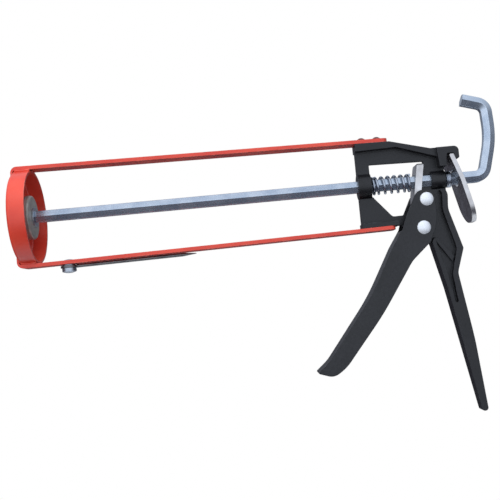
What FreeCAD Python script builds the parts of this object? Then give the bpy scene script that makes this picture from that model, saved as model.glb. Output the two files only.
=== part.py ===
"""Caulking gun: an open frame of two steel straps and a front cup, a cast handle, a hexagon
push rod with a bent hook, and the trigger, drive plate and release lever that move the rod.

Millimetres. X runs along the push rod from the cup to the hook, Z is up, and the origin is on
the rod's axis at the inner face of the cup's front plate.
"""
import FreeCAD, Part
import math
import os
import Sketcher
from FreeCAD import Placement, Rotation, Vector

DOC = FreeCAD.newDocument("CaulkingGun")
SHEET = DOC.addObject("Spreadsheet::Sheet", "Sizes")

# Driving dimensions: name, value in millimetres (degrees where the name says angle), meaning.
DIMENSIONS = [
    ("bay_length", 220.3, "cup plate to the casting's front face"),
    ("cup_depth", 10.1, "inside depth of the front cup"),
    ("cup_plate", 1.5, "thickness of the cup's front plate"),
    ("cup_wall", 1.4, "thickness of the cup's rim"),
    ("nozzle_radius", 12.0, "hole for the cartridge nozzle"),
    ("strap_width", 14.0, "width of both straps"),
    ("strap_gauge", 2.4, "thickness of both straps"),
    ("strap_front", 33.05, "outer face of a strap above the rod axis, at the cup plate"),
    ("strap_rear", 30.0, "outer face of a strap above the rod axis, at the casting"),
    ("strap_lap", 21.3, "length of strap that lies on the casting"),
    ("tab_gauge", 1.3, "thickness of the straps' tabs in front of the cup plate"),
    ("strap_tab", 9.0, "height of the tab welded to the cup plate"),
    ("strap_bend", 4.0, "outer radius of the strap's front bend"),
    ("cup_gap", 0.15, "between the cup's rim and the straps"),
    ("rod_flats", 7.4, "push rod across flats"),
    ("rod_gap", 0.12, "around the rod's corners in the casting's bores"),
    ("hook_reach", 31.9, "from the rear rod boss to the hook's upright"),
    ("hook_rise", 49.6, "height of the hook's upper bend above the rod axis"),
    ("hook_leg", 15.5, "length of the hook's upper leg along X"),
    ("hook_bend", 7.0, "bend radius of the hook, at the rod's centre line"),
    ("stud_radius", 3.0, "turned end of the rod, inside the plunger"),
    ("disc_radius", 14.4, "plunger disc"),
    ("disc_gauge", 1.4, "thickness of the plunger disc"),
    ("disc_rim", 2.6, "how far the plunger disc's rim stands forward of its face"),
    ("disc_front", 7.4, "plunger disc's front face from the cup plate"),
    ("nut_height", 4.0, "nut in front of the plunger disc"),
    ("nut_flats", 10.0, "that nut across flats"),
    ("washer_gauge", 1.2, "washer behind the plunger disc"),
    ("washer_radius", 6.5, "that washer"),
    ("web_gauge", 4.0, "thickness of the casting's web"),
    ("flange_gauge", 5.0, "depth of the casting's top flange"),
    ("floor_gauge", 3.2, "depth of the casting's bottom flange"),
    ("front_boss_radius", 8.2, "front rod boss"),
    ("front_boss_length", 8.4, "front rod boss"),
    ("rear_boss_radius", 6.2, "rear rod boss"),
    ("rear_boss_front", 47.5, "rear boss behind the casting's front face"),
    ("rear_boss_length", 9.2, "rear rod boss"),
    ("grip_width", 12.0, "width of the grip's flanges at the top"),
    ("grip_end_width", 9.0, "width of the grip at its lower end"),
    ("grip_drop", 150.1, "lower end of the grip below the rod axis"),
    ("pivot_x", 38.6, "trigger pivot behind the casting's front face"),
    ("pivot_drop", 30.4, "trigger pivot below the rod axis"),
    ("pin_x", 42.2, "drive pin behind the casting's front face"),
    ("pin_drop", 12.4, "drive pin below the rod axis"),
    ("rivet_radius", 3.0, "shank of the pivot rivet and of the drive pin"),
    ("rivet_gap", 0.08, "around those shanks"),
    ("rivet_head_radius", 4.4, "head of the pivot rivet and of the drive pin"),
    ("rivet_head", 1.3, "height of those heads"),
    ("cheek_gauge", 1.4, "sheet thickness of the trigger"),
    ("cheek_span", 15.8, "inside width of the trigger's channel"),
    ("head_gap", 0.15, "between the pivot rivet's heads and the trigger"),
    ("plate_side_gap", 0.5, "between the drive plate and each cheek of the trigger"),
    ("plate_gauge", 4.4, "drive plate"),
    ("plate_rise", 11.2, "top of the drive plate above the rod axis"),
    ("plate_drop", 14.0, "bottom of the drive plate below the rod axis"),
    ("plate_angle", 10.4, "lean of the drive plate from upright, in degrees"),
    ("pin_gap", 0.45, "between the drive plate and the drive pin"),
    ("plate_hole_gap", 0.35, "around the rod in the drive plate"),
    ("spring_gap", 0.35, "between a spring's ends and what it presses on"),
    ("drive_wire", 1.7, "wire of the drive spring"),
    ("drive_turns", 6.0, "coils of the drive spring"),
    ("release_wire", 1.0, "wire of the release spring"),
    ("release_turns", 2.5, "coils of the release spring"),
    ("coil_gap", 0.12, "between the rod's corners and a spring"),
    ("lever_gauge", 2.8, "release lever"),
    ("lever_width", 27.0, "release lever"),
    ("lever_drop", 29.5, "tip of the release lever below the rod axis"),
    ("lever_corner", 12.0, "rounding of the release lever's tip"),
    ("lever_hole_gap", 1.0, "around the rod in the release lever"),
    ("hood_width", 20.0, "hood of the casting over the lever's top"),
    ("strap_rivet_radius", 2.0, "shanks of the strap rivets"),
    ("strap_rivet_fit", 0.05, "around those shanks"),
    ("strap_rivet_head", 3.3, "radius of the strap rivets' heads"),
    ("strap_rivet_dome", 2.2, "height of the strap rivets' domes"),
    ("strap_rivet_first", 5.2, "first strap rivet behind the casting's front face"),
    ("strap_rivet_pitch", 10.0, "between the two rivets of a strap"),
    ("piercer_x", 29.0, "rivet of the seal piercer from the cup plate"),
    ("piercer_length", 83.0, "seal piercer from its rivet to its point"),
    ("piercer_wire", 2.4, "diameter of the seal piercer"),
    ("piercer_eye", 0.8, "how far the seal piercer's eye shows around its rivet's head"),
    ("piercer_eye_gauge", 1.4, "thickness of the seal piercer's eye"),
    ("piercer_shank", 2.5, "radius of the seal piercer's rivet"),
    ("piercer_head", 4.6, "head radius of the seal piercer's rivet"),
    ("piercer_head_height", 3.3, "whole head of the seal piercer's rivet"),
    ("piercer_dome", 1.0, "rounded end of that head"),
    ("piercer_washer", 0.6, "spring washer under the seal piercer's eye"),
]


class Size:
    """A number that remembers the sheet expression behind it, so that it can drive a property."""

    def __init__(self, value, text):
        self.value = value
        self.text = text

    def __add__(self, other):
        other = size(other)
        return Size(self.value + other.value, f"({self.text} + {other.text})")

    def __sub__(self, other):
        other = size(other)
        return Size(self.value - other.value, f"({self.text} - {other.text})")

    def __mul__(self, other):
        other = size(other)
        return Size(self.value * other.value, f"({self.text} * {other.text})")

    def __truediv__(self, other):
        other = size(other)
        return Size(self.value / other.value, f"({self.text} / {other.text})")

    def __neg__(self):
        return self * -1

    def __radd__(self, other):
        return size(other) + self

    def __rsub__(self, other):
        return size(other) - self

    def __rmul__(self, other):
        return self * other


def size(number):
    if isinstance(number, Size):
        return number
    return Size(float(number), repr(float(number)))


def fill_sheet():
    for row, (name, value, meaning) in enumerate(DIMENSIONS, start=1):
        SHEET.set(f"A{row}", str(value))
        SHEET.setAlias(f"A{row}", name)
        SHEET.set(f"B{row}", meaning)
    DOC.recompute()
    return {name: Size(value, f"Sizes.{name}") for name, value, meaning in DIMENSIONS}


D = fill_sheet()


def bind(thing, **properties):
    """Sets each property of a document object from a Size, through the sheet."""
    for name, value in properties.items():
        value = size(value)
        setattr(thing, name, value.value)
        thing.setExpression(name, value.text)


# ---- PartDesign helpers ---------------------------------------------------------------------

def new_body(label):
    body = DOC.addObject("PartDesign::Body", label)
    body.Label = label
    return body


def new_sketch(body, plane, name, offset=None):
    """A sketch on one of the body's own origin planes, moved along the plane's normal."""
    sketch = body.newObject("Sketcher::SketchObject", name)
    support = [f for f in body.Origin.OriginFeatures if f.Role == plane][0]
    sketch.AttachmentSupport = [(support, "")]
    sketch.MapMode = "FlatFace"
    if offset is not None:
        offset = size(offset)
        sketch.setExpression(".AttachmentOffset.Base.z", offset.text)
        sketch.AttachmentOffset = Placement(Vector(0, 0, offset.value), Rotation())
    return sketch


def hold(sketch, kind, *where, value=None, name=""):
    """Adds a constraint, with its value bound to the sheet."""
    if value is None:
        return sketch.addConstraint(Sketcher.Constraint(kind, *where))
    value = size(value)
    index = sketch.addConstraint(Sketcher.Constraint(kind, *where, value.value))
    sketch.renameConstraint(index, name)
    sketch.setExpression(f"Constraints.{name}", value.text)
    return index


def pin_point(sketch, geometry, end, x, y, name):
    hold(sketch, "DistanceX", -1, 1, geometry, end, value=x, name=f"{name}_x")
    hold(sketch, "DistanceY", -1, 1, geometry, end, value=y, name=f"{name}_y")


def outline(sketch, corners, closed=True):
    """Straight runs through corners (x, y) or (x, y, radius); a radius rounds its corner."""
    corners = [(size(c[0]), size(c[1]), size(c[2] if len(c) > 2 else 0)) for c in corners]
    count = len(corners)
    points = [Vector(x.value, y.value, 0) for x, y, r in corners]
    entry = list(points)
    leave = list(points)
    arcs = {}
    for i, (x, y, r) in enumerate(corners):
        inner = closed or 0 < i < count - 1
        if r.value <= 0 or not inner:
            continue
        back = (points[i - 1] - points[i]).normalize()
        ahead = (points[(i + 1) % count] - points[i]).normalize()
        half = back.getAngle(ahead) / 2
        reach = r.value / math.tan(half)
        entry[i] = points[i] + back * reach
        leave[i] = points[i] + ahead * reach
        centre = points[i] + (back + ahead).normalize() * (r.value / math.sin(half))
        turns_left = (-back).cross(ahead).z > 0
        first, last = (entry[i], leave[i]) if turns_left else (leave[i], entry[i])
        a = math.atan2(first.y - centre.y, first.x - centre.x)
        b = math.atan2(last.y - centre.y, last.x - centre.x)
        if b < a:
            b += 2 * math.pi
        circle = Part.Circle(centre, Vector(0, 0, 1), r.value)
        arcs[i] = (sketch.addGeometry(Part.ArcOfCircle(circle, a, b)), turns_left)
    runs = count if closed else count - 1
    lines = []
    for i in range(runs):
        lines.append(sketch.addGeometry(Part.LineSegment(leave[i], entry[(i + 1) % count])))
    for i, (x, y, r) in enumerate(corners):
        name = f"corner{i}"
        if not closed and i == 0:
            pin_point(sketch, lines[0], 1, x, y, name)
            continue
        if not closed and i == count - 1:
            pin_point(sketch, lines[-1], 2, x, y, name)
            continue
        before, after = lines[i - 1], lines[i % runs]
        if i not in arcs:
            hold(sketch, "Coincident", before, 2, after, 1)
            pin_point(sketch, after, 1, x, y, name)
            continue
        arc, turns_left = arcs[i]
        hold(sketch, "Tangent", before, 2, arc, 1 if turns_left else 2)
        hold(sketch, "Tangent", after, 1, arc, 2 if turns_left else 1)
        hold(sketch, "Radius", arc, value=r, name=f"{name}_radius")
        corner = sketch.addGeometry(Part.Point(points[i]), True)
        hold(sketch, "PointOnObject", corner, 1, before)
        hold(sketch, "PointOnObject", corner, 1, after)
        pin_point(sketch, corner, 1, x, y, name)


def circle(sketch, x, y, radius, name):
    """A full circle, held by its centre and radius."""
    x, y, radius = size(x), size(y), size(radius)
    shape = Part.Circle(Vector(x.value, y.value, 0), Vector(0, 0, 1), radius.value)
    index = sketch.addGeometry(shape)
    pin_point(sketch, index, 3, x, y, name)
    hold(sketch, "Radius", index, value=radius, name=f"{name}_radius")


def pad(body, sketch, length, symmetric=True, back=False):
    feature = body.newObject("PartDesign::Pad", sketch.Name + "Pad")
    feature.Profile = sketch
    feature.Midplane = symmetric
    feature.Reversed = back
    bind(feature, Length=length)
    DOC.recompute()
    return feature


def pocket(body, sketch, length, symmetric=True, back=False):
    """Cuts, and makes sure that the cut took something away."""
    before = body.Shape.Volume
    feature = body.newObject("PartDesign::Pocket", sketch.Name + "Pocket")
    feature.Profile = sketch
    feature.Midplane = symmetric
    feature.Reversed = back
    bind(feature, Length=length)
    DOC.recompute()
    if body.Shape.Volume >= before - 0.01:
        raise RuntimeError(f"{feature.Name} cuts nothing")
    return feature


def side_pad(body, name, width, corners):
    """A plate that lies in the XZ plane, centred on it."""
    sketch = new_sketch(body, "XZ_Plane", name)
    outline(sketch, corners)
    return pad(body, sketch, width)


def side_pocket(body, name, width, corners):
    sketch = new_sketch(body, "XZ_Plane", name)
    outline(sketch, corners)
    return pocket(body, sketch, width)


def side_bore(body, name, x, z, radius, width):
    """A round hole across the gun."""
    sketch = new_sketch(body, "XZ_Plane", name)
    circle(sketch, x, z, radius, "bore")
    return pocket(body, sketch, width)


def lengthwise_bore(body, name, radius, length):
    """A round hole along the rod's axis, through everything that the body has there."""
    sketch = new_sketch(body, "YZ_Plane", name)
    circle(sketch, 0, 0, radius, "bore")
    return pocket(body, sketch, length * 2)


def round_corners(body, name, half, level, inward, radius):
    """Rounds the two corners at y = +-half and z = level, seen along X; inward is +1 or -1 in Z."""
    for side in (1, -1):
        sketch = new_sketch(body, "YZ_Plane", name + ("Near" if side > 0 else "Far"))
        outline(sketch, [
            (side * (half + 2.0), level - inward * 2.0),
            (side * (half + 2.0), level + inward * (radius + 1.0)),
            (side * half, level + inward * (radius + 1.0)),
            (side * half, level, radius),
            (side * (half - radius - 1.0), level),
            (side * (half - radius - 1.0), level - inward * 2.0),
        ])
        pocket(body, sketch, (front + 80.0) * 2)


def upright_holes(body, name, places, radius):
    """Round holes along Z at the places given along X."""
    sketch = new_sketch(body, "XY_Plane", name)
    for i, x in enumerate(places):
        circle(sketch, x, 0, radius, f"hole{i}")
    return pocket(body, sketch, D["strap_front"] * 3)


def edges_where(shape, test):
    return [f"Edge{i}" for i, edge in enumerate(shape.Edges, start=1) if test(edge)]


def fillet(body, name, radius, test):
    """Rounds the edges of the body's last feature that pass the test."""
    base = body.Tip
    edges = edges_where(base.Shape, test)
    if not edges:
        raise RuntimeError(f"{name}: no edge to round")
    feature = body.newObject("PartDesign::Fillet", name)
    feature.Base = (base, edges)
    bind(feature, Radius=radius)
    DOC.recompute()
    return feature


def middle(edge):
    return edge.valueAt((edge.FirstParameter + edge.LastParameter) / 2)


def near(a, b, slack=0.02):
    return abs(a - b) < slack


# ---- Part helpers ---------------------------------------------------------------------------

def cylinder(name, radius, length, axis, x=0, y=0, z=0):
    """A cylinder that starts at x, y, z and runs along the axis."""
    item = DOC.addObject("Part::Cylinder", name)
    bind(item, Radius=radius, Height=length)
    turn(item, axis)
    place(item, x, y, z)
    return item


def cone(name, radius1, radius2, length, axis, x=0, y=0, z=0):
    item = DOC.addObject("Part::Cone", name)
    bind(item, Radius1=radius1, Radius2=radius2, Height=length)
    turn(item, axis)
    place(item, x, y, z)
    return item


def turn(item, axis):
    """Lays the item's own Z along the axis."""
    item.Placement = Placement(Vector(), Rotation(Vector(0, 0, 1), axis))


def place(item, x, y, z):
    for letter, value in zip("xyz", (x, y, z)):
        item.setExpression(f".Placement.Base.{letter}", size(value).text)


def fuse(name, items):
    item = DOC.addObject("Part::MultiFuse", name)
    item.Shapes = items
    item.Refine = True
    return item


def cut(name, base, tool):
    item = DOC.addObject("Part::Cut", name)
    item.Base = base
    item.Tool = tool
    item.Refine = True
    return item


def group(label, items):
    item = DOC.addObject("Part::Compound", label)
    item.Links = items
    item.Label = label
    return item


def dome(name, radius, height, axis, x, y, z):
    """A low round head that stands on the plane through x, y, z and bulges along the axis."""
    radius, height = size(radius), size(height)
    ball_radius = (radius * radius + height * height) / (height * 2)
    item = DOC.addObject("Part::Sphere", name)
    bind(item, Radius=ball_radius)
    angle = math.degrees(math.asin(1 - height.value / ball_radius.value))
    item.setExpression("Angle1", f"asin(1 - {height.text} / {ball_radius.text})")
    item.Angle1 = angle
    turn(item, axis)
    sink = ball_radius - height
    place(item, x - sink * axis.x, y - sink * axis.y, z - sink * axis.z)
    return item


ALONG = Vector(1, 0, 0)
ACROSS = Vector(0, 1, 0)
UP = Vector(0, 0, 1)
DOWN = Vector(0, 0, -1)

front = D["bay_length"]
gauge = D["strap_gauge"]
rod_corner = D["rod_flats"] / math.sqrt(3)
strap_end = front + D["strap_lap"]
strap_slope = (D["strap_front"] - D["strap_rear"]) / front


def strap_outer(x):
    """Height of a strap's outer face above the rod axis."""
    return D["strap_front"] - strap_slope * x


def strap_inner(x):
    return strap_outer(x) - gauge


def strap_rivets_x():
    first = front + D["strap_rivet_first"]
    return [first, first + D["strap_rivet_pitch"]]


# ---- Frame ----------------------------------------------------------------------------------

def front_cup():
    """Pressed cup that takes the cartridge's front end, open to the rear."""
    body = new_body("front_cup")
    rim = strap_inner(0) - D["cup_gap"] - strap_slope * D["cup_depth"]
    inner = rim - D["cup_wall"]
    sketch = new_sketch(body, "XZ_Plane", "CupSection")
    outline(sketch, [
        (-D["cup_plate"], D["nozzle_radius"]),
        (-D["cup_plate"], rim, 2.4),
        (D["cup_depth"], rim),
        (D["cup_depth"], inner),
        (0, inner, 1.2),
        (0, D["nozzle_radius"]),
    ])
    turned = body.newObject("PartDesign::Revolution", "CupRevolution")
    turned.Profile = sketch
    turned.ReferenceAxis = (sketch, ["H_Axis"])
    turned.Angle = 360
    DOC.recompute()


def strap(label, side):
    """One strap of the frame: a tab on the cup plate, a bend and a long run to the casting."""
    body = new_body(label)
    tab_front = -D["cup_plate"] - D["tab_gauge"]
    inner_bend = D["strap_bend"] - gauge
    bend_top = strap_outer(tab_front)
    side_pad(body, "StrapSide", D["strap_width"], [
        (tab_front, side * (bend_top - D["strap_tab"])),
        (tab_front, side * bend_top, D["strap_bend"]),
        (strap_end, side * strap_outer(strap_end)),
        (strap_end, side * strap_inner(strap_end)),
        (-D["cup_plate"], side * strap_inner(-D["cup_plate"]), inner_bend),
        (-D["cup_plate"], side * (bend_top - D["strap_tab"])),
    ])
    rear = strap_end.value
    fillet(body, "RearCorners", 3.0,
           lambda e: near(middle(e).x, rear) and near(abs(middle(e).y), D["strap_width"].value / 2))
    low = (bend_top - D["strap_tab"]).value
    fillet(body, "TabCorners", 3.0,
           lambda e: near(abs(middle(e).z), low) and near(abs(middle(e).y), D["strap_width"].value / 2))
    upright_holes(body, "RivetHoles", strap_rivets_x(),
                  D["strap_rivet_radius"] + D["strap_rivet_fit"])
    if side < 0:
        upright_holes(body, "PiercerHole", [D["piercer_x"]],
                      D["piercer_shank"] + D["strap_rivet_fit"])
        countersink(body)
    return body


def countersink(body):
    """Seats for the flush rivets, from below into the bottom strap."""
    for i, x in enumerate(strap_rivets_x()):
        sketch = new_sketch(body, "XZ_Plane", f"Seat{i}")
        fit = D["strap_rivet_fit"]
        bottom = -strap_outer(x) - 0.5
        outline(sketch, [
            (x, bottom),
            (x + D["strap_rivet_head"] + fit, bottom),
            (x + D["strap_rivet_head"] + fit, -strap_outer(x) + 0.1),
            (x + D["strap_rivet_radius"] + fit, -strap_outer(x) + 1.4),
            (x, -strap_outer(x) + 1.4),
        ])
        groove = body.newObject("PartDesign::Groove", f"Seat{i}Groove")
        groove.Profile = sketch
        before = body.Shape.Volume
        line = sketch.addGeometry(Part.LineSegment(Vector(x.value, -40, 0), Vector(x.value, 0, 0)), True)
        hold(sketch, "Vertical", line)
        hold(sketch, "DistanceX", -1, 1, line, 1, value=x, name="axis_x")
        groove.ReferenceAxis = (sketch, ["Axis0"])
        groove.Angle = 360
        DOC.recompute()
        if body.Shape.Volume >= before:
            raise RuntimeError("a countersink cuts nothing")


def strap_rivets():
    """Two domed rivets on the top strap, two flush ones in the bottom strap."""
    shank = D["strap_rivet_radius"]
    depth = D["flange_gauge"] - 1.5
    tops = []
    flush = []
    for i, x in enumerate(strap_rivets_x()):
        seat = strap_outer(x) + 0.05
        stem = cylinder(f"TopStem{i}", shank, gauge + depth, DOWN, x, 0, seat)
        head = dome(f"TopDome{i}", D["strap_rivet_head"], D["strap_rivet_dome"], UP, x, 0, seat)
        tops.append(fuse(f"TopRivet{i}", [stem, head]))
        low = -strap_outer(x) + 0.1
        pin = cylinder(f"LowStem{i}", shank, gauge + D["floor_gauge"] - 0.8, UP, x, 0, low)
        flare = cone(f"LowHead{i}", D["strap_rivet_head"], shank, 1.3, UP, x, 0, low)
        flush.append(fuse(f"LowRivet{i}", [pin, flare]))
    group("top_strap_rivets", tops)
    group("bottom_strap_rivets", flush)


# ---- Handle casting -------------------------------------------------------------------------

pivot_x = front + D["pivot_x"]
pivot_z = -D["pivot_drop"]
pin_x = front + D["pin_x"]
pin_z = -D["pin_drop"]
web_half = D["web_gauge"] / 2
boss_rear = front + D["rear_boss_front"] + D["rear_boss_length"]
grip_end = -D["grip_drop"]
hood_top = size(20.4)
hood_rear = boss_rear + 9.0
lip_inner = hood_rear - 3.0
lip_low = size(12.0)
pocket_top = hood_top - 4.6


def side_outline():
    """The casting seen from the side: head, hood over the lever, spur and grip."""
    return [
        (front, strap_inner(front)),
        (strap_end + 1.0, strap_inner(strap_end + 1.0)),
        (boss_rear - 8.4, hood_top, 12.0),
        (hood_rear, hood_top, 3.5),
        (hood_rear, lip_low, 0.9),
        (boss_rear + 4.0, lip_low),
        (boss_rear + 4.0, 6.0),
        (boss_rear, 6.0),
        (boss_rear, -10.0, 6.0),
        (boss_rear - 0.8, -19.5, 14.0),
        (boss_rear + 6.4, -45.6, 1.2),
        (boss_rear + 1.3, -61.0, 9.0),
        (boss_rear + 7.7, -104.0, 200.0),
        (boss_rear + 11.8, grip_end, 2.0),
        (boss_rear + 7.9, grip_end, 1.8),
        (boss_rear - 6.4, -70.0, 40.0),
        (boss_rear - 13.2, -40.0, 2.0),
        (pivot_x - 6.0, pivot_z - 6.4, 3.0),
        (strap_end + 5.0, -strap_inner(strap_end + 5.0)),
        (front, -strap_inner(front)),
    ]


def handle_casting():
    body = new_body("handle_casting")
    side_pad(body, "Web", D["web_gauge"], side_outline())
    top_flange(body)
    bottom_flange(body)
    grip_flanges(body)
    bosses(body)
    hood(body)
    window(body)
    reach = D["rear_boss_radius"] + 6.0
    lengthwise_bore(body, "RodBore", rod_corner + D["rod_gap"], hood_rear + 20)
    side_bore(body, "PivotBore", pivot_x, pivot_z, D["rivet_radius"] + D["rivet_gap"] / 2, 2 * reach)
    strap_rivet_bores(body)


def top_flange(body):
    """Flange under the top strap that slopes down to the hood."""
    drop = D["flange_gauge"]
    side_pad(body, "TopFlange", D["strap_width"], [
        (front, strap_inner(front)),
        (strap_end + 1.0, strap_inner(strap_end + 1.0)),
        (boss_rear - 8.4, hood_top),
        (boss_rear - 3.0, hood_top),
        (boss_rear - 3.0, hood_top - 6.2),
        (front + 26.4, strap_inner(front) - drop + 0.6),
        (front, strap_inner(front) - drop),
    ])


def bottom_flange(body):
    """Flange that the bottom strap is riveted to."""
    side_pad(body, "BottomFlange", D["strap_width"], [
        (front, -strap_inner(front)),
        (strap_end + 2.5, -strap_inner(strap_end + 2.5)),
        (strap_end + 2.5, -strap_inner(front) + D["floor_gauge"], 1.5),
        (front, -strap_inner(front) + D["floor_gauge"]),
    ])


def grip_flanges(body):
    """Edge flanges around the grip's recessed web, narrower towards the lower end."""
    side_pad(body, "GripBlock", D["grip_width"], [
        (boss_rear - 1.2, -7.0),
        (boss_rear, -10.0, 6.0),
        (boss_rear - 0.8, -19.5, 14.0),
        (boss_rear + 6.4, -45.6, 1.2),
        (boss_rear + 1.3, -61.0, 9.0),
        (boss_rear + 7.7, -104.0, 200.0),
        (boss_rear + 11.8, grip_end, 2.0),
        (boss_rear + 7.9, grip_end, 1.8),
        (boss_rear - 6.4, -70.0, 40.0),
        (boss_rear - 13.2, -40.0, 2.0),
        (boss_rear - 9.6, -34.0),
        (boss_rear - 5.0, -24.0),
        (boss_rear - 5.0, -7.0),
    ])
    panel = [
        (boss_rear - 5.5, -6.0),
        (boss_rear - 3.6, -9.0),
        (boss_rear - 4.2, -20.0, 10.0),
        (boss_rear + 2.2, -45.0, 2.0),
        (boss_rear - 2.2, -61.5, 6.0),
        (boss_rear + 3.4, -112.0, 1.0),
        (boss_rear - 5.2, -62.0, 4.0),
        (boss_rear - 11.6, -36.0, 1.0),
        (boss_rear - 8.0, -22.0),
        (boss_rear - 8.0, -6.0),
    ]
    depth = (D["grip_width"] - D["web_gauge"]) / 2
    for side, plus in (("Near", True), ("Far", False)):
        sketch = new_sketch(body, "XZ_Plane", f"GripPanel{side}", web_half if plus else -web_half)
        outline(sketch, panel)
        pocket(body, sketch, depth + 1.0, symmetric=False, back=plus)
    slim_grip(body)
    for side in (1, -1):
        sketch = new_sketch(body, "XZ_Plane", "RibNear" if side > 0 else "RibFar",
                            (web_half if side > 0 else -web_half - 2.2))
        outline(sketch, [
            (boss_rear - 11.2, -38.4, 0.8),
            (boss_rear - 10.0, -36.4, 0.8),
            (boss_rear + 0.6, -50.6),
            (boss_rear - 1.2, -53.4),
        ])
        pad(body, sketch, 2.2, symmetric=False)


def slim_grip(body):
    """Takes the grip's sides in, from its full width at the spur to its end width."""
    top = D["grip_width"] / 2
    low = D["grip_end_width"] / 2
    for side in (1, -1):
        sketch = new_sketch(body, "YZ_Plane", "TaperNear" if side > 0 else "TaperFar")
        outline(sketch, [
            (side * top, -62.0),
            (side * (top + 3.0), -62.0),
            (side * (top + 3.0), grip_end - 3.0),
            (side * low, grip_end - 3.0),
        ])
        pocket(body, sketch, (hood_rear + 20) * 2)


def bosses(body):
    """Two bosses that carry the rod, and the trigger's pivot boss."""
    for name, start, length, radius in (
        ("FrontBoss", front, D["front_boss_length"], D["front_boss_radius"]),
        ("RearBoss", front + D["rear_boss_front"], D["rear_boss_length"], D["rear_boss_radius"]),
    ):
        sketch = new_sketch(body, "YZ_Plane", name, start)
        circle(sketch, 0, 0, radius, "boss")
        pad(body, sketch, length, symmetric=False)
    sketch = new_sketch(body, "XZ_Plane", "PivotBoss")
    circle(sketch, pivot_x, pivot_z, 6.6, "boss")
    pad(body, sketch, D["cheek_span"] - 0.8)


def hood(body):
    """Hood that shelters the release lever's top and keeps it from falling out."""
    side_pad(body, "Hood", D["hood_width"], [
        (boss_rear - 5.0, hood_top),
        (hood_rear, hood_top, 3.5),
        (hood_rear, lip_low, 0.9),
        (boss_rear + 4.0, lip_low),
        (boss_rear + 4.0, 7.8),
        (boss_rear - 4.0, 7.8),
    ])
    side_pocket(body, "LeverPocket", D["hood_width"] + 4.0, [
        (lip_inner, 5.0),
        (lip_inner, pocket_top, 1.2),
        (boss_rear + 1.2, pocket_top, 1.2),
        (boss_rear - 0.1, 5.0),
    ])
    round_corners(body, "HoodEdge", D["hood_width"] / 2, hood_top, -1, size(1.8))


def window(body):
    """Opening for the drive spring, the drive plate and the drive pin."""
    side_pocket(body, "Window", D["strap_width"] + 4.0, [
        (front + D["front_boss_length"], 14.0, 1.0),
        (plate_rear(13.2) + 0.6, 13.2, 0.8),
        (plate_rear(-8) + 0.6, -8.0),
        (pin_x + 5.0, -8.0),
        (pin_x + 5.0, pin_z - 4.2, 1.5),
        (pivot_x + 1.1, -20.6, 2.0),
        (pivot_x - 18.0, -21.1, 3.0),
        (front + D["front_boss_length"], -spring_outer - 0.5),
    ])


def strap_rivet_bores(body):
    """Blind bores for the strap rivets, from the flanges' seats."""
    for name, side in (("TopRivetBores", 1), ("LowRivetBores", -1)):
        start = side * strap_inner(front) + side * 3.0
        sketch = new_sketch(body, "XY_Plane", name, start)
        for i, x in enumerate(strap_rivets_x()):
            circle(sketch, x, 0, D["strap_rivet_radius"] + D["strap_rivet_fit"], f"hole{i}")
        depth = D["flange_gauge"] - 1.5 if side > 0 else D["floor_gauge"] - 0.5
        pocket(body, sketch, 3.0 + depth + 0.4, symmetric=False, back=side < 0)


# ---- Push rod and plunger -------------------------------------------------------------------

def push_rod():
    """Hexagon rod with flats above and below, a turned stud in front and a bent hook behind."""
    body = new_body("push_rod")
    shoulder = D["disc_front"] + D["disc_gauge"] + D["washer_gauge"]
    path = new_sketch(body, "XZ_Plane", "RodPath")
    reach = boss_rear + D["hook_reach"]
    rise = D["hook_rise"]
    outline(path, [
        (shoulder, 0),
        (reach - 6.2, 0, D["hook_bend"]),
        (reach + 0.6, 25.0, 60.0),
        (reach - 0.4, rise - 3.0, D["hook_bend"]),
        (reach - D["hook_leg"], rise + 1.5),
    ], closed=False)
    section = new_sketch(body, "YZ_Plane", "RodSection", shoulder)
    half = D["rod_flats"] / 2
    outline(section, [
        (-rod_corner, 0, 0.4),
        (-rod_corner / 2, -half, 0.4),
        (rod_corner / 2, -half, 0.4),
        (rod_corner, 0, 0.4),
        (rod_corner / 2, half, 0.4),
        (-rod_corner / 2, half, 0.4),
    ])
    pipe = body.newObject("PartDesign::AdditivePipe", "RodPipe")
    pipe.Profile = section
    pipe.Spine = path
    DOC.recompute()
    stud = new_sketch(body, "YZ_Plane", "Stud", D["disc_front"] - D["nut_height"] - 0.8)
    circle(stud, 0, 0, D["stud_radius"], "stud")
    pad(body, stud, shoulder - D["disc_front"] + D["nut_height"] + 0.8, symmetric=False)
    fillet(body, "StudChamfer", 0.5,
           lambda e: near(middle(e).x, (D["disc_front"] - D["nut_height"]).value - 0.8))


def plunger_disc():
    """Pressed disc with a turned rim, free to spin on the stud."""
    body = new_body("plunger_disc")
    sketch = new_sketch(body, "XZ_Plane", "DiscSection")
    face = D["disc_front"]
    back = face + D["disc_gauge"]
    hole = D["stud_radius"] + 0.08
    outline(sketch, [
        (face, hole),
        (face, D["disc_radius"] - 2.0, 0.8),
        (face - D["disc_rim"], D["disc_radius"] - 1.2, 0.4),
        (face - D["disc_rim"], D["disc_radius"], 0.5),
        (back, D["disc_radius"], 1.4),
        (back, hole),
    ])
    turned = body.newObject("PartDesign::Revolution", "DiscRevolution")
    turned.Profile = sketch
    turned.ReferenceAxis = (sketch, ["H_Axis"])
    turned.Angle = 360
    DOC.recompute()


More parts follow.
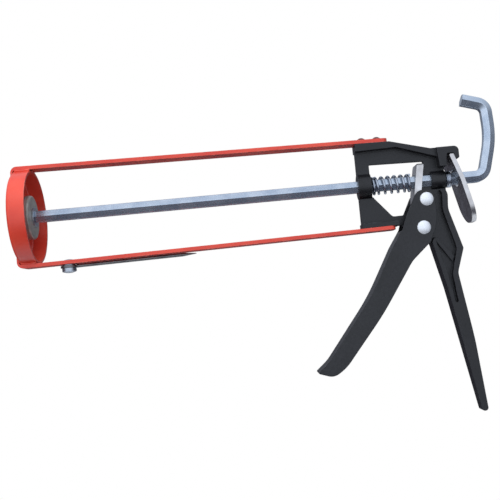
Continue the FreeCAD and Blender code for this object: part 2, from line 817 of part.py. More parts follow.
def plunger_fasteners():
    hole = D["stud_radius"] + 0.08
    gap = 0.1
    back = D["disc_front"] + D["disc_gauge"] + gap
    ring = cylinder("WasherDisc", D["washer_radius"], D["washer_gauge"] - 2 * gap, ALONG, back)
    bore = cylinder("WasherBore", hole, D["washer_gauge"] + 2, ALONG, back - 1)
    cut("plunger_washer", ring, bore).Label = "plunger_washer"
    block = DOC.addObject("Part::Prism", "NutBlock")
    block.Polygon = 6
    bind(block, Circumradius=D["nut_flats"] / math.sqrt(3), Height=D["nut_height"] - gap)
    turn(block, ALONG)
    place(block, D["disc_front"] - D["nut_height"], 0, 0)
    thread = cylinder("NutBore", D["stud_radius"] + 0.02, D["nut_height"] + 2, ALONG,
                      D["disc_front"] - D["nut_height"] - 1)
    bulge = cone("NutChamfer", D["nut_flats"] / 2 - 0.4, D["nut_flats"] / 2 + 6.0, 6.4, ALONG,
                 D["disc_front"] - D["nut_height"])
    trimmed = DOC.addObject("Part::MultiCommon", "NutTrimmed")
    trimmed.Shapes = [block, bulge]
    cut("plunger_nut", trimmed, thread).Label = "plunger_nut"


# ---- Trigger --------------------------------------------------------------------------------

def trigger_front(shift):
    """Corners of the channel's closed front side, moved in by shift, from the head to the toe."""
    return [
        (pivot_x - 13.4 + shift, pivot_z + 0.6, 2.0),
        (pivot_x - 21.0 + shift, pivot_z - 10.6, 18.0),
        (pivot_x - 38.2 + shift, pivot_z - 41.0, 150.0),
        (pivot_x - 68.4 + shift, pivot_z - 79.6, 30.0),
    ]


def trigger():
    """Pressed channel: two cheeks over the casting and a closed front that the fingers pull."""
    body = new_body("trigger")
    width = D["cheek_span"] + 2 * D["cheek_gauge"]
    side_pad(body, "TriggerSide", width, [
        (pin_x - 7.4, pin_z + 3.2, 3.0),
        (pin_x - 4.4, pin_z + 6.0, 4.0),
        (pin_x + 5.6, pin_z + 6.0, 6.0),
        (pivot_x + 8.6, pivot_z + 3.0, 10.0),
        (pivot_x + 3.4, pivot_z - 9.6, 4.0),
        (pivot_x - 9.5, pivot_z - 20.8, 20.0),
        (pivot_x - 31.4, pivot_z - 52.8, 200.0),
        (pivot_x - 58.0, pivot_z - 84.6, 30.0),
        (pivot_x - 66.4, pivot_z - 89.8, 8.0),
        (pivot_x - 76.6, pivot_z - 86.4, 0.8),
    ] + list(reversed(trigger_front(0))) + [
        (pivot_x - 12.0, pivot_z + 5.0, 3.0),
    ])
    sheet = D["cheek_gauge"] * 1.15
    inner = trigger_front(sheet)
    side_pocket(body, "TriggerInside", D["cheek_span"], [
        (pivot_x - 30.0, pin_z + 20.0),
        (pin_x + 30.0, pin_z + 20.0),
        (pin_x + 30.0, pivot_z - 100.0),
        (pivot_x - 66.0, pivot_z - 100.0),
        (pivot_x - 76.6 + 3.2, pivot_z - 85.2),
    ] + list(reversed(inner[1:])) + [
        (pivot_x - 14.4 + sheet, pivot_z - 0.9, 1.0),
        (pivot_x - 30.0, pivot_z - 0.9),
    ])
    fit = D["rivet_radius"] + D["rivet_gap"]
    side_bore(body, "PivotHole", pivot_x, pivot_z, fit, width + 4)
    side_bore(body, "PinHole", pin_x, pin_z, fit, width + 4)


def double_headed(label, x, z, head_gap):
    """Solid rivet across the trigger with a low head at each end."""
    seat = D["cheek_span"] / 2 + D["cheek_gauge"] + head_gap
    stem = cylinder(label + "_shank", D["rivet_radius"], seat * 2, ACROSS, x, -seat, z)
    heads = [
        dome(label + "_near", D["rivet_head_radius"], D["rivet_head"], -ACROSS, x, -seat, z),
        dome(label + "_far", D["rivet_head_radius"], D["rivet_head"], ACROSS, x, seat, z),
    ]
    fuse(label, [stem] + heads).Label = label


# ---- Drive and release ----------------------------------------------------------------------

lean = math.radians(D["plate_angle"].value)
plate_run = D["plate_gauge"] / math.cos(lean)
plate_foot = pin_x - D["rivet_radius"] - D["pin_gap"]
spring_outer = rod_corner + D["coil_gap"] + D["drive_wire"]


def plate_rear(z):
    """X of the drive plate's rear face at height z."""
    return plate_foot + (size(z) - pin_z) * math.tan(lean)


def drive_plate():
    """Thick plate around the rod that leans on the drive pin."""
    body = new_body("drive_plate")
    top = D["plate_rise"]
    low = -D["plate_drop"]
    width = D["cheek_span"] - D["plate_side_gap"] * 2
    side_pad(body, "PlateSide", width, [
        (plate_rear(top) - plate_run, top, 0.6),
        (plate_rear(top), top, 0.6),
        (plate_rear(low), low, 0.6),
        (plate_rear(low) - plate_run, low, 0.6),
    ])
    round_corners(body, "PlateTop", width / 2, top, -1, size(2.2))
    lengthwise_bore(body, "PlateHole", rod_corner + D["plate_hole_gap"], strap_end + 60)


def coil(label, wire, turns, start, stop):
    """Round-wire compression spring around the rod, from start to stop along X."""
    radius = rod_corner + D["coil_gap"] + wire / 2
    pitch = (stop - start - wire) / turns
    helix = DOC.addObject("Part::Helix", label + "_helix")
    bind(helix, Radius=radius, Pitch=pitch, Height=stop - start - wire)
    profile = DOC.addObject("Part::Circle", label + "_wire")
    bind(profile, Radius=wire / 2)
    profile.Placement = Placement(Vector(), Rotation(Vector(1, 0, 0), 90))
    profile.setExpression(".Placement.Base.x", radius.text)
    DOC.recompute()
    sweep = DOC.addObject("Part::Sweep", label)
    sweep.Sections = [profile]
    sweep.Spine = (helix, ["Edge1"])
    sweep.Solid = True
    sweep.Frenet = True
    sweep.Label = label
    turn(sweep, ALONG)
    place(sweep, start + wire / 2, 0, 0)


def springs():
    gap = D["spring_gap"]
    coil("drive_spring", D["drive_wire"], D["drive_turns"],
         front + D["front_boss_length"] + gap, plate_rear(-spring_outer) - plate_run - gap)
    reach = rod_corner + D["coil_gap"] + D["release_wire"]
    coil("release_spring", D["release_wire"], D["release_turns"],
         boss_rear + gap, lever_front(reach) - gap)


LEVER_TOP_LEAN = math.tan(math.radians(19.0))
LEVER_LOW_LEAN = math.tan(math.radians(13.0))
lever_run = D["lever_gauge"] / math.cos(math.radians(16.0))
lever_bend_x = boss_rear + 8.85
lever_bend_z = -2.0
lever_top = pocket_top - 1.2


def lever_front(z):
    """X of the lever's front face at height z, above its bend."""
    return lever_bend_x - lever_run / 2 - (size(z) - lever_bend_z) * LEVER_TOP_LEAN


def release_lever():
    """Thumb lever that hangs from the hood around the rod and holds it when it leans back."""
    body = new_body("release_lever")
    low = -D["lever_drop"]
    low_x = lever_bend_x + (size(lever_bend_z) - low) * LEVER_LOW_LEAN - lever_run / 2
    bend = lever_front(lever_bend_z)
    side_pad(body, "LeverSide", D["lever_width"], [
        (lever_front(lever_top), lever_top, 0.8),
        (lever_front(lever_top) + lever_run, lever_top, 0.8),
        (bend + lever_run, lever_bend_z, 12.0),
        (low_x + lever_run, low, 0.8),
        (low_x, low, 0.8),
        (bend, lever_bend_z, 12.0),
    ])
    round_corners(body, "LeverTip", D["lever_width"] / 2, low, 1, D["lever_corner"])
    lengthwise_bore(body, "LeverHole", rod_corner + D["lever_hole_gap"], strap_end + 80)


# ---- Seal piercer ---------------------------------------------------------------------------

def seal_piercer():
    """Pointed wire that folds flat under the bottom strap and swings out on its rivet."""
    x = D["piercer_x"]
    slope = strap_slope.value
    level_run = math.cos(math.atan(slope))
    off = Vector(slope, 0, -1)
    inward = Vector(-slope, 0, 1)
    rearward = Vector(1, 0, slope)

    def below(depth, run=0):
        """Place that far under the bottom strap, and that far behind the rivet."""
        run, depth = size(run) * level_run, size(depth) * level_run
        return x + run + strap_slope * depth, 0, strap_slope * run - strap_outer(x) - depth

    washer = D["piercer_washer"]
    eye_top = washer + 0.2
    eye_low = eye_top + D["piercer_eye_gauge"]
    eye_radius = D["piercer_head"] + D["piercer_eye"]
    wire = D["piercer_wire"] / 2
    level = wire + 0.3
    root = D["piercer_head"] + 0.3
    straight = D["piercer_length"] - 9.0
    eye = cylinder("PiercerEye", eye_radius, D["piercer_eye_gauge"], off, *below(eye_top))
    hole = cylinder("PiercerEyeHole", D["piercer_shank"] + 0.08, D["piercer_eye_gauge"] + 2, off,
                    *below(eye_top - 1))
    rod = cylinder("PiercerWire", wire, straight - root, rearward, *below(level, root))
    point = cone("PiercerPoint", wire, 0.25, 9.0, rearward, *below(level, straight))
    blank = fuse("PiercerBlank", [eye, rod, point])
    cut("seal_piercer", blank, hole).Label = "seal_piercer"
    ring = cylinder("PiercerRing", D["piercer_head"] - 0.3, washer, off, *below(0.12))
    bore = cylinder("PiercerRingHole", D["piercer_shank"] + 0.05, washer + 2, off, *below(-1))
    cut("piercer_washer", ring, bore).Label = "piercer_washer"
    seat = eye_low + 0.15
    drum = D["piercer_head_height"] - D["piercer_dome"]
    shank = cylinder("PiercerShank", D["piercer_shank"], seat + gauge + 0.05, inward, *below(seat))
    barrel = cylinder("PiercerBarrel", D["piercer_head"], drum, off, *below(seat))
    head = dome("PiercerDome", D["piercer_head"], D["piercer_dome"], off, *below(seat + drum))
    formed = dome("PiercerFormed", D["piercer_head"] - 0.6, 0.9, inward, *below(-gauge - 0.05))
    fuse("piercer_rivet", [shank, barrel, head, formed]).Label = "piercer_rivet"


# ---- Build, check and write -----------------------------------------------------------------

def build():
    front_cup()
    strap("top_strap", 1)
    strap("bottom_strap", -1)
    strap_rivets()
    handle_casting()
    push_rod()
    plunger_disc()
    plunger_fasteners()
    trigger()
    double_headed("trigger_pivot", pivot_x, pivot_z, D["head_gap"])
    double_headed("drive_pin", pin_x, pin_z, size(0.05))
    drive_plate()
    springs()
    release_lever()
    seal_piercer()
    DOC.recompute()


NODES = [
    "front_cup", "top_strap", "bottom_strap", "top_strap_rivets", "bottom_strap_rivets",
    "handle_casting", "push_rod", "plunger_disc", "plunger_washer", "plunger_nut", "trigger",
    "trigger_pivot", "drive_pin", "drive_plate", "drive_spring", "release_lever",
    "release_spring", "seal_piercer", "piercer_washer", "piercer_rivet",
]


def check():
    for item in DOC.Objects:
        if "Invalid" in item.State or "Error" in item.State:
            raise RuntimeError(f"{item.Label} failed: {item.State}")
    for label in NODES:
        found = DOC.getObjectsByLabel(label)
        if len(found) != 1:
            raise RuntimeError(f"{label}: {len(found)} objects carry this label")
        shape = found[0].Shape
        if shape.isNull() or not shape.isValid():
            raise RuntimeError(f"{label} has no valid shape")


def write():
    os.makedirs("parts", exist_ok=True)
    for label in NODES:
        shape = DOC.getObjectsByLabel(label)[0].Shape
        shape.exportStep(f"parts/{label}.step")
        box = shape.BoundBox
        print(f"{label:22s} solids {len(shape.Solids)}  volume {shape.Volume:9.1f}"
              f"  x {box.XMin:7.2f} {box.XMax:7.2f}"
              f"  y {box.YMin:6.2f} {box.YMax:6.2f}  z {box.ZMin:7.2f} {box.ZMax:7.2f}")


build()
check()
write()
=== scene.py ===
"""Looks of the caulking gun: its finishes, its two coil springs, the weld beads between its cup
and straps, and a plain studio around it. Metres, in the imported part's frame.
"""

import math

import bpy
from mathutils import Matrix, Vector


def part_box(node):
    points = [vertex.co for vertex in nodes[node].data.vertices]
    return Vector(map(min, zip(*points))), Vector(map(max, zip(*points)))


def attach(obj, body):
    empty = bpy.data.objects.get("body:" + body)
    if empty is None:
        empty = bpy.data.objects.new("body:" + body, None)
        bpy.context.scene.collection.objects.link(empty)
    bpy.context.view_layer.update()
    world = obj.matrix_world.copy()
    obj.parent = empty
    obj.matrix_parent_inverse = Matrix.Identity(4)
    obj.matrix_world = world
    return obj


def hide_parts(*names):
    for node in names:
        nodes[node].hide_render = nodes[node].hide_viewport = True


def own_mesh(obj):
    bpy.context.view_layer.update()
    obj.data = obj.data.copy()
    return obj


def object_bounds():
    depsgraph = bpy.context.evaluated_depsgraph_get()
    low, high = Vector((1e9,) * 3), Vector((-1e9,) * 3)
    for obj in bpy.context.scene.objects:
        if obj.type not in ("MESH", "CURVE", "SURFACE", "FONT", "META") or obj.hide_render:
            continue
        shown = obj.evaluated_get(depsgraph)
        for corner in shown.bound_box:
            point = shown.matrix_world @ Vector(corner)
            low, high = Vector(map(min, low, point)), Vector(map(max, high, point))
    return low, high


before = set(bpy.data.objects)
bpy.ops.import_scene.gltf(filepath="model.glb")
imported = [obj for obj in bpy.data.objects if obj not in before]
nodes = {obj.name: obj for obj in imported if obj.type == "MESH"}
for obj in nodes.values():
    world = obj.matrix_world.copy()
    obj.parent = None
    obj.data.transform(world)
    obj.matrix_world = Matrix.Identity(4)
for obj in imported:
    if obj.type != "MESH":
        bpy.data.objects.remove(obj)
cad_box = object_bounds()

MM = 0.001
MERGE_GAP = 0.02 * MM
BEVEL_SAMPLES = 4


# ---- Colours and shader nodes ---------------------------------------------------------------

def colour(hex_code):
    """Linear RGBA of an sRGB hex colour."""
    parts = [int(hex_code[i:i + 2], 16) / 255 for i in (1, 3, 5)]
    return [c / 12.92 if c <= 0.04045 else ((c + 0.055) / 1.055) ** 2.4 for c in parts] + [1.0]


def add(tree, kind, inputs=None, **settings):
    """Adds one node: its settings by name, and a value or another node's output per input. A Mix
    node's colour inputs are 0 (share), 6 and 7, and its colour output is 2."""
    node = tree.nodes.new(kind)
    for name, value in settings.items():
        setattr(node, name, value)
    for name, value in (inputs or {}).items():
        if isinstance(value, bpy.types.NodeSocket):
            tree.links.new(value, node.inputs[name])
        else:
            node.inputs[name].default_value = value
    return node


def new_material(name):
    """An empty material with its output node and the position on the object."""
    material = bpy.data.materials.new(name)
    material.use_nodes = True
    tree = material.node_tree
    tree.nodes.clear()
    out = add(tree, "ShaderNodeOutputMaterial")
    place = add(tree, "ShaderNodeTexCoord").outputs["Object"]
    return material, tree, out, place


def speckle(tree, place, size, detail=2.0, stretch=(1, 1, 1), low=0.35, high=0.65):
    """Noise between 0 and 1 with grains of one size in metres, drawn out along an axis."""
    scale = [1 / s for s in stretch]
    laid = add(tree, "ShaderNodeMapping", {"Vector": place, "Scale": scale}).outputs["Vector"]
    noise = add(tree, "ShaderNodeTexNoise", {"Vector": laid, "Scale": 1 / size, "Detail": detail})
    return add(tree, "ShaderNodeMapRange",
               {"Value": noise.outputs["Fac"], "From Min": low, "From Max": high}).outputs[0]


def edge_share(tree, radius, sharpness=0.12):
    """How much of an edge a point is on: 0 on flats, 1 on a corner."""
    rounded = add(tree, "ShaderNodeBevel", {"Radius": radius},
                  samples=BEVEL_SAMPLES).outputs["Normal"]
    plain = add(tree, "ShaderNodeNewGeometry").outputs["Normal"]
    same = add(tree, "ShaderNodeVectorMath", {0: rounded, 1: plain}, operation="DOT_PRODUCT")
    return add(tree, "ShaderNodeMapRange", {
        "Value": same.outputs["Value"], "From Min": 1.0, "From Max": 1.0 - sharpness,
    }).outputs[0]


def bump(tree, height, depth, edge=0.35 * MM):
    """Surface normal with a height pattern of one depth, over edges softened by a radius."""
    soft = add(tree, "ShaderNodeBevel", {"Radius": edge}, samples=BEVEL_SAMPLES).outputs["Normal"]
    return add(tree, "ShaderNodeBump", {"Height": height, "Distance": depth, "Strength": 1.0,
                                        "Normal": soft}).outputs["Normal"]


# ---- Finishes -------------------------------------------------------------------------------

def red_powder_coat():
    """Epoxy powder coat, sprayed on steel and baked: half gloss with a fine orange peel, a
    little uneven in tone, lighter along its edges as a painted sheen and partly as rubbed paint,
    and nicked through in a few places."""
    material, tree, out, place = new_material("red_powder_coat_on_steel")
    tone = speckle(tree, place, 24 * MM, detail=3.0)
    paint = add(tree, "ShaderNodeMix", {
        0: tone, 6: colour("#CC3A28"), 7: colour("#DA4934"),
    }, data_type="RGBA").outputs[2]
    edges = edge_share(tree, 0.7 * MM)
    patches = speckle(tree, place, 5 * MM, detail=4.0, low=0.48, high=0.62)
    edge_wear_and_sheen = add(tree, "ShaderNodeMath", {0: edges, 1: patches}, operation="MULTIPLY").outputs[0]
    # Painted highlight: the edges are mixed towards a light pink that stands for sheen on the
    # coat, and partly for rubbed paint.
    paint = add(tree, "ShaderNodeMix", {
        0: edge_wear_and_sheen, 6: paint, 7: colour("#E8826E"),
    }, data_type="RGBA").outputs[2]
    nicks = speckle(tree, place, 1.6 * MM, detail=1.0, low=0.70, high=0.73)
    worn = add(tree, "ShaderNodeMath", {0: nicks, 1: edges}, operation="MULTIPLY").outputs[0]
    paint = add(tree, "ShaderNodeMix", {
        0: worn, 6: paint, 7: colour("#6E5A55"),
    }, data_type="RGBA").outputs[2]
    peel = speckle(tree, place, 1.3 * MM, detail=1.5)
    shader = add(tree, "ShaderNodeBsdfPrincipled", {
        "Base Color": paint,
        "Roughness": add(tree, "ShaderNodeMapRange", {
            "Value": tone, "To Min": 0.34, "To Max": 0.44,
        }).outputs[0],
        "Normal": bump(tree, peel, 0.012 * MM),
        "IOR": 1.5,
        "Coat Weight": 0.15,
        "Coat Roughness": 0.22,
    })
    tree.links.new(shader.outputs[0], out.inputs["Surface"])
    return material


def black_enamel(name, grain, gloss):
    """Black stove enamel on metal: a fine dry grain from the casting or the sheet under it,
    soft gloss, and edges painted lighter grey: a painted edge highlight, partly handling wear."""
    material, tree, out, place = new_material(name)
    tone = speckle(tree, place, 18 * MM, detail=4.0)
    paint = add(tree, "ShaderNodeMix", {
        0: tone, 6: colour("#09090B"), 7: colour("#121215"),
    }, data_type="RGBA").outputs[2]
    edges = edge_share(tree, 0.5 * MM)
    patches = speckle(tree, place, 4 * MM, detail=3.0, low=0.42, high=0.66)
    edge_wear_and_sheen = add(tree, "ShaderNodeMath", {0: edges, 1: patches}, operation="MULTIPLY").outputs[0]
    # Painted highlight: the edges are mixed towards a light grey that stands for highlights on
    # rounded edges, and partly for wear.
    paint = add(tree, "ShaderNodeMix", {
        0: edge_wear_and_sheen, 6: paint, 7: colour("#4A4A50"),
    }, data_type="RGBA").outputs[2]
    fine = speckle(tree, place, grain, detail=2.0)
    shader = add(tree, "ShaderNodeBsdfPrincipled", {
        "Base Color": paint,
        "Roughness": add(tree, "ShaderNodeMapRange", {
            "Value": fine, "To Min": gloss - 0.06, "To Max": gloss + 0.08,
        }).outputs[0],
        "Normal": bump(tree, fine, 0.02 * MM, edge=0.6 * MM),
        "IOR": 1.52,
    })
    tree.links.new(shader.outputs[0], out.inputs["Surface"])
    return material


def rivet_paint():
    """Red-brown primer on steel rivets set after painting: flat in tone, half gloss."""
    material, tree, out, place = new_material("red_brown_primer_on_rivets")
    tone = speckle(tree, place, 3 * MM, detail=3.0)
    shader = add(tree, "ShaderNodeBsdfPrincipled", {
        "Base Color": add(tree, "ShaderNodeMix", {
            0: tone, 6: colour("#4A1F1C"), 7: colour("#5E2723"),
        }, data_type="RGBA").outputs[2],
        "Roughness": 0.40,
        "Normal": bump(tree, tone, 0.02 * MM),
        "IOR": 1.5,
    })
    tree.links.new(shader.outputs[0], out.inputs["Surface"])
    return material


def zinc_plate(name, light, dark, gloss, stretch, grain=0.5 * MM, metal=1.0):
    """Blue-bright zinc plate on steel: cool grey, faintly cloudy, with the fine lines that
    drawing or turning left under it. The lines are drawn several times coarser than real."""
    material, tree, out, place = new_material(name)
    cloud = speckle(tree, place, 9 * MM, detail=3.0)
    lines = speckle(tree, place, grain, detail=2.0, stretch=stretch)
    tint = add(tree, "ShaderNodeMix", {
        0: cloud, 6: colour(light), 7: colour(dark),
    }, data_type="RGBA").outputs[2]
    shader = add(tree, "ShaderNodeBsdfPrincipled", {
        "Base Color": tint,
        "Metallic": metal,
        "Roughness": add(tree, "ShaderNodeMapRange", {
            "Value": lines, "To Min": gloss - 0.03, "To Max": gloss + 0.06,
        }).outputs[0],
        "Normal": bump(tree, lines, 0.0025 * MM, edge=0.3 * MM),
    })
    tree.links.new(shader.outputs[0], out.inputs["Surface"])
    return material


def dull_plate():
    """Barrel-zinc plate gone dull on a pressed disc: a light warm grey skin of oxide over the
    metal, so it shines little and shows faint rings of smears."""
    material, tree, out, place = new_material("dull_zinc_on_pressed_disc")
    cloud = speckle(tree, place, 6 * MM, detail=4.0)
    fine = speckle(tree, place, 1.0 * MM, detail=2.0)
    shader = add(tree, "ShaderNodeBsdfPrincipled", {
        "Base Color": add(tree, "ShaderNodeMix", {
            0: cloud, 6: colour("#B4B4AB"), 7: colour("#96968E"),
        }, data_type="RGBA").outputs[2],
        "Metallic": 0.45,
        "Roughness": add(tree, "ShaderNodeMapRange", {
            "Value": fine, "To Min": 0.36, "To Max": 0.52,
        }).outputs[0],
        "Normal": bump(tree, fine, 0.010 * MM),
    })
    tree.links.new(shader.outputs[0], out.inputs["Surface"])
    return material


ROD_LINES = (60, 1, 1)
STAMPED_LINES = (1, 1, 12)
EVEN = (1, 1, 1)

# The plate on the rod and the rivets has a milky skin, so it stays light where it mirrors the dark
# side of the studio.
ROD_METAL = 0.85
RIVET_METAL = 0.6

FINISHES = {
    red_powder_coat(): ["front_cup", "top_strap", "bottom_strap"],
    black_enamel("black_enamel_on_casting", 0.7 * MM, 0.40): ["handle_casting"],
    black_enamel("black_enamel_on_pressed_steel", 1.1 * MM, 0.34): ["trigger"],
    zinc_plate("bright_zinc_on_drawn_rod", "#CDD8E4", "#B6C4D4", 0.24, ROD_LINES,
               metal=ROD_METAL): ["push_rod"],
    zinc_plate("bright_zinc_on_rivets", "#F8FAFC", "#EEF2F6", 0.42, EVEN,
               metal=RIVET_METAL): ["trigger_pivot", "drive_pin"],
    zinc_plate("bright_zinc_on_fasteners", "#C9CFD6", "#AEB6C0", 0.30, EVEN): [
        "plunger_nut", "plunger_washer", "piercer_rivet", "piercer_washer"],
    dull_plate(): ["plunger_disc"],
    zinc_plate("zinc_on_stamped_steel", "#E2E1E0", "#C4C0BD", 0.30, STAMPED_LINES): [
        "release_lever", "drive_plate"],
    zinc_plate("worn_zinc_on_pointed_wire", "#8F8E8C", "#6F6E6E", 0.40, ROD_LINES): [
        "seal_piercer"],
    rivet_paint(): ["top_strap_rivets", "bottom_strap_rivets"],
}


def dress(piece, material):
    piece.data.materials.clear()
    piece.data.materials.append(material)


for finish, names in FINISHES.items():
    for node_name in names:
        dress(nodes[node_name], finish)


# ---- Modelling helpers ----------------------------------------------------------------------

def clear_selection():
    if bpy.context.mode != "OBJECT":
        bpy.ops.object.mode_set(mode="OBJECT")
    bpy.ops.object.select_all(action="DESELECT")


def apply_all(piece):
    """Applies every modifier, then puts the place into the mesh."""
    clear_selection()
    piece.select_set(True)
    bpy.context.view_layer.objects.active = piece
    for modifier in list(piece.modifiers):
        bpy.ops.object.modifier_apply(modifier=modifier.name)
    bpy.ops.object.transform_apply(location=True, rotation=True, scale=True)


def outward(piece):
    """Merges doubles and turns every face outward."""
    clear_selection()
    bpy.context.view_layer.objects.active = piece
    piece.select_set(True)
    bpy.ops.object.mode_set(mode="EDIT")
    bpy.ops.mesh.select_all(action="SELECT")
    bpy.ops.mesh.remove_doubles(threshold=MERGE_GAP)
    bpy.ops.mesh.normals_make_consistent(inside=False)
    bpy.ops.object.mode_set(mode="OBJECT")


# ---- Springs --------------------------------------------------------------------------------

RING_SIDES = 12
STEPS_PER_TURN = 28
CLOSED_PITCH = 1.04     # in wires, so closed turns lie a hair apart


def coil_length(start, turns, pitch, radius, wire):
    """One stretch of coil around the rod from start: a wire's ring screwed along X."""
    clear_selection()
    bpy.ops.mesh.primitive_circle_add(vertices=RING_SIDES, radius=wire / 2,
                                      location=(start, 0, radius), rotation=(math.pi / 2, 0, 0))
    ring = bpy.context.active_object
    bpy.ops.object.transform_apply(location=True, rotation=True, scale=True)
    screw = ring.modifiers.new("Coil", "SCREW")
    screw.axis = "X"
    screw.angle = turns * 2 * math.pi
    screw.screw_offset = turns * pitch
    screw.steps = STEPS_PER_TURN * turns
    screw.render_steps = STEPS_PER_TURN * turns
    screw.use_merge_vertices = False
    apply_all(ring)
    return ring


def coil_spring(name, node_name, wire, open_turns, material):
    """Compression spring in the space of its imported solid, with a closed turn at each end."""
    low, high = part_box(node_name)
    radius = (high.z - low.z) / 2 - wire / 2
    closed = wire * CLOSED_PITCH
    first = low.x + wire / 2
    run = (high.x - low.x) - wire - 2 * closed
    parts = [
        coil_length(first, 1, closed, radius, wire),
        coil_length(first + closed, open_turns, run / open_turns, radius, wire),
        coil_length(first + closed + run, 1, closed, radius, wire),
    ]
    clear_selection()
    for part in parts:
        part.select_set(True)
    bpy.context.view_layer.objects.active = parts[0]
    bpy.ops.object.join()
    spring = bpy.context.active_object
    spring.name = name
    bpy.ops.object.mode_set(mode="EDIT")
    bpy.ops.mesh.select_all(action="SELECT")
    bpy.ops.mesh.remove_doubles(threshold=MERGE_GAP)
    bpy.ops.mesh.select_all(action="DESELECT")
    bpy.ops.mesh.select_non_manifold()
    bpy.ops.mesh.edge_face_add()
    bpy.ops.object.mode_set(mode="OBJECT")
    outward(spring)
    bpy.ops.object.shade_smooth_by_angle(angle=math.radians(50))
    dress(spring, material)
    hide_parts(node_name)
    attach(spring, "frame")
    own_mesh(spring)


spring_wire = zinc_plate("bright_zinc_on_spring_wire", "#C4CBD4", "#AAB2BE", 0.26, EVEN, 4 * MM)
coil_spring("drive_coil", "drive_spring", 1.7 * MM, 5, spring_wire)
coil_spring("release_coil", "release_spring", 1.0 * MM, 2, spring_wire)


# ---- Weld beads -----------------------------------------------------------------------------

BEAD_SIDES = 20
BEAD_ROUNDING = 0.42    # of the thinner side
BEAD_GRID = 0.16 * MM
LUMP_SIZE = 2.2 * MM
LUMP_RISE = 0.5 * MM


def weld_bead(name, start, end, height, thick):
    """Short fillet weld under the paint: a rounded bar from start to end, lumpy along its run."""
    clear_selection()
    begin, finish = Vector(start), Vector(end)
    run = finish - begin
    bpy.ops.mesh.primitive_cylinder_add(vertices=BEAD_SIDES, radius=0.5, depth=run.length)
    bead = bpy.context.active_object
    bead.name = name
    bead.scale = (thick, height, 1.0)
    bead.rotation_euler = run.to_track_quat("Z", "Y").to_euler()
    bead.location = (begin + finish) / 2
    bpy.ops.object.transform_apply(location=False, rotation=False, scale=True)
    rounding = bead.modifiers.new("Ends", "BEVEL")
    rounding.width = min(thick, height) * BEAD_ROUNDING
    rounding.segments = 3
    rounding.limit_method = "ANGLE"
    lumps = bpy.data.textures.new(name + "_lumps", "CLOUDS")
    lumps.noise_scale = LUMP_SIZE
    even = bead.modifiers.new("Mesh", "REMESH")
    even.mode = "VOXEL"
    even.voxel_size = BEAD_GRID
    swell = bead.modifiers.new("Swell", "DISPLACE")
    swell.texture = lumps
    swell.texture_coords = "LOCAL"
    swell.strength = LUMP_RISE
    smooth = bead.modifiers.new("Flow", "SMOOTH")
    smooth.iterations = 4
    apply_all(bead)
    outward(bead)
    bpy.ops.object.shade_smooth()
    dress(bead, nodes["front_cup"].active_material)
    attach(bead, "frame")


BEAD_LEVEL = 30.05 * MM
BEAD_FLANK = 6.75 * MM
BEAD_THICK = 1.3 * MM
RIM_WELD_FROM, RIM_WELD_TO = -0.4 * MM, 9.7 * MM
RIM_WELD_HEIGHT = 1.5 * MM
CORNER_WELD_FROM, CORNER_WELD_TO = -1.2 * MM, 0.6 * MM
CORNER_WELD_HEIGHT = 1.3 * MM
CORNER_DROP = 1.9 * MM
CORNER_RISE = 0.1 * MM
for side in (1, -1):
    level = side * BEAD_LEVEL
    corner_low = side * (BEAD_LEVEL - CORNER_DROP)
    corner_high = side * (BEAD_LEVEL + CORNER_RISE)
    for flank in (1, -1):
        label = ("top" if side > 0 else "bottom") + ("_far" if flank > 0 else "_near")
        y = flank * BEAD_FLANK
        weld_bead(f"rim_weld_{label}", (RIM_WELD_FROM, y, level), (RIM_WELD_TO, y, level),
                  RIM_WELD_HEIGHT, BEAD_THICK)
        weld_bead(f"corner_weld_{label}", (CORNER_WELD_FROM, y, corner_low),
                  (CORNER_WELD_TO, y, corner_high), CORNER_WELD_HEIGHT, BEAD_THICK)


# ---- Studio ---------------------------------------------------------------------------------

def studio_light(name, place, size, power, tint, aim_at):
    """Soft area lamp. Bright plate doesn't mirror it, only the even surround."""
    data = bpy.data.lights.new(name, "AREA")
    data.shape = "RECTANGLE"
    data.size, data.size_y = size
    data.energy = power
    data.color = tint
    lamp = bpy.data.objects.new(name, data)
    bpy.context.scene.collection.objects.link(lamp)
    lamp.location = place
    lamp.rotation_euler = (Vector(aim_at) - Vector(place)).to_track_quat("-Z", "Y").to_euler()
    lamp.visible_glossy = False


def aim_camera(camera, yaw, pitch, roll):
    """Points the camera: yaw from +Y towards +X, pitch upward, roll about the view axis."""
    look = Vector((math.sin(yaw) * math.cos(pitch), math.cos(yaw) * math.cos(pitch),
                   math.sin(pitch)))
    right = Vector((math.cos(yaw), -math.sin(yaw), 0))
    up = right.cross(look)
    across = right * math.cos(roll) + up * math.sin(roll)
    upward = up * math.cos(roll) - right * math.sin(roll)
    camera.rotation_euler = Matrix((across, upward, -look)).transposed().to_euler()


low, high = cad_box
middle = (low + high) / 2
FLOOR_LEVEL = -0.75
FLOOR_SIZE = 1.5
FLOOR_BACK = 0.55

clear_selection()
bpy.ops.mesh.primitive_plane_add(size=FLOOR_SIZE, location=(middle.x, FLOOR_BACK, FLOOR_LEVEL))
floor = bpy.context.active_object
floor.name = "floor"
bpy.ops.object.transform_apply(location=True, rotation=True, scale=True)
paper, tree, out, place = new_material("matt_white_paper")
fibre = speckle(tree, place, 3 * MM, detail=3.0)
sheet = add(tree, "ShaderNodeBsdfPrincipled", {
    "Base Color": add(tree, "ShaderNodeMix", {
        0: fibre, 6: colour("#F2F2F2"), 7: colour("#EEEEEE"),
    }, data_type="RGBA").outputs[2],
    "Roughness": 0.9,
    "Specular IOR Level": 0.1,
})
tree.links.new(sheet.outputs[0], out.inputs["Surface"])
dress(floor, paper)

world = bpy.data.worlds.new("studio")
bpy.context.scene.world = world
world.use_nodes = True
sky = world.node_tree
sky.nodes.clear()

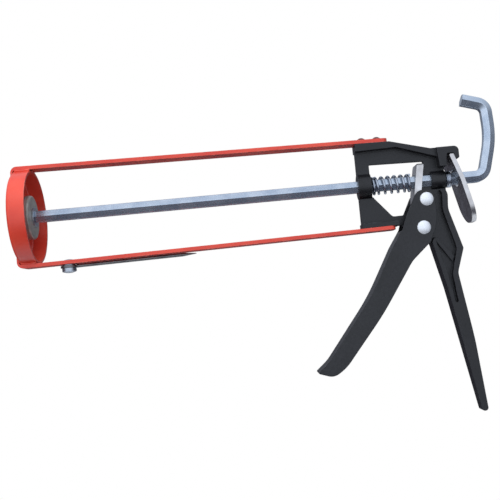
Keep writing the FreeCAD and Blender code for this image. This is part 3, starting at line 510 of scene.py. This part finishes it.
# The tool is lit and mirrored by a dark surround that brightens overhead and towards -Y, but not
# underneath. The camera sees plain white.
way = add(sky, "ShaderNodeSeparateXYZ",
          {"Vector": add(sky, "ShaderNodeTexCoord").outputs["Generated"]})
above = add(sky, "ShaderNodeMapRange",
            {"Value": way.outputs["Z"], "From Min": 0.0, "From Max": 0.8})
facing = add(sky, "ShaderNodeMapRange",
             {"Value": way.outputs["Y"], "From Min": -0.3, "From Max": -0.7})
not_under = add(sky, "ShaderNodeMapRange",
                {"Value": way.outputs["Z"], "From Min": -0.6, "From Max": -0.2})
ahead = add(sky, "ShaderNodeMath", {0: facing.outputs[0], 1: not_under.outputs[0]},
            operation="MULTIPLY")
lit = add(sky, "ShaderNodeMath", {0: above.outputs[0], 1: ahead.outputs[0]},
          operation="MAXIMUM")
glow = add(sky, "ShaderNodeMix", {
    0: lit.outputs[0], 6: colour("#4A4A54"), 7: colour("#E9F1FF"),
}, data_type="RGBA").outputs[2]
strength = add(sky, "ShaderNodeMapRange", {
    "Value": ahead.outputs[0], "To Min": 0.85, "To Max": 1.15,
}).outputs[0]
seen = add(sky, "ShaderNodeLightPath").outputs["Is Camera Ray"]
around = add(sky, "ShaderNodeBackground", {"Color": glow, "Strength": strength})
behind = add(sky, "ShaderNodeBackground", {"Color": colour("#FFFFFF"), "Strength": 1.0})
both = add(sky, "ShaderNodeMixShader", {0: seen, 1: around.outputs[0], 2: behind.outputs[0]})
sky.links.new(both.outputs[0], add(sky, "ShaderNodeOutputWorld").inputs["Surface"])

studio_light("overhead_softbox", (middle.x - 0.20, -0.35, 0.75), size=(1.1, 0.7), power=5.5,
             tint=(0.97, 0.98, 1.0), aim_at=middle)
studio_light("front_softbox", (middle.x - 0.85, -0.75, 0.10), size=(0.6, 0.6), power=4.5,
             tint=(1.0, 0.99, 0.97), aim_at=middle)

CAMERA_PLACE = (0.1451, -0.5600, -0.0700)
SENSOR_WIDTH = 36.0
FOCAL_LENGTH = 62.25
lens = bpy.data.cameras.new("camera")
lens.sensor_width = SENSOR_WIDTH
lens.lens = FOCAL_LENGTH
camera = bpy.data.objects.new("camera", lens)
bpy.context.scene.collection.objects.link(camera)
camera.location = CAMERA_PLACE
aim_camera(camera, yaw=0.003, pitch=0.064, roll=-0.092)
bpy.context.scene.camera = camera
bpy.context.scene.view_settings.view_transform = "Standard"
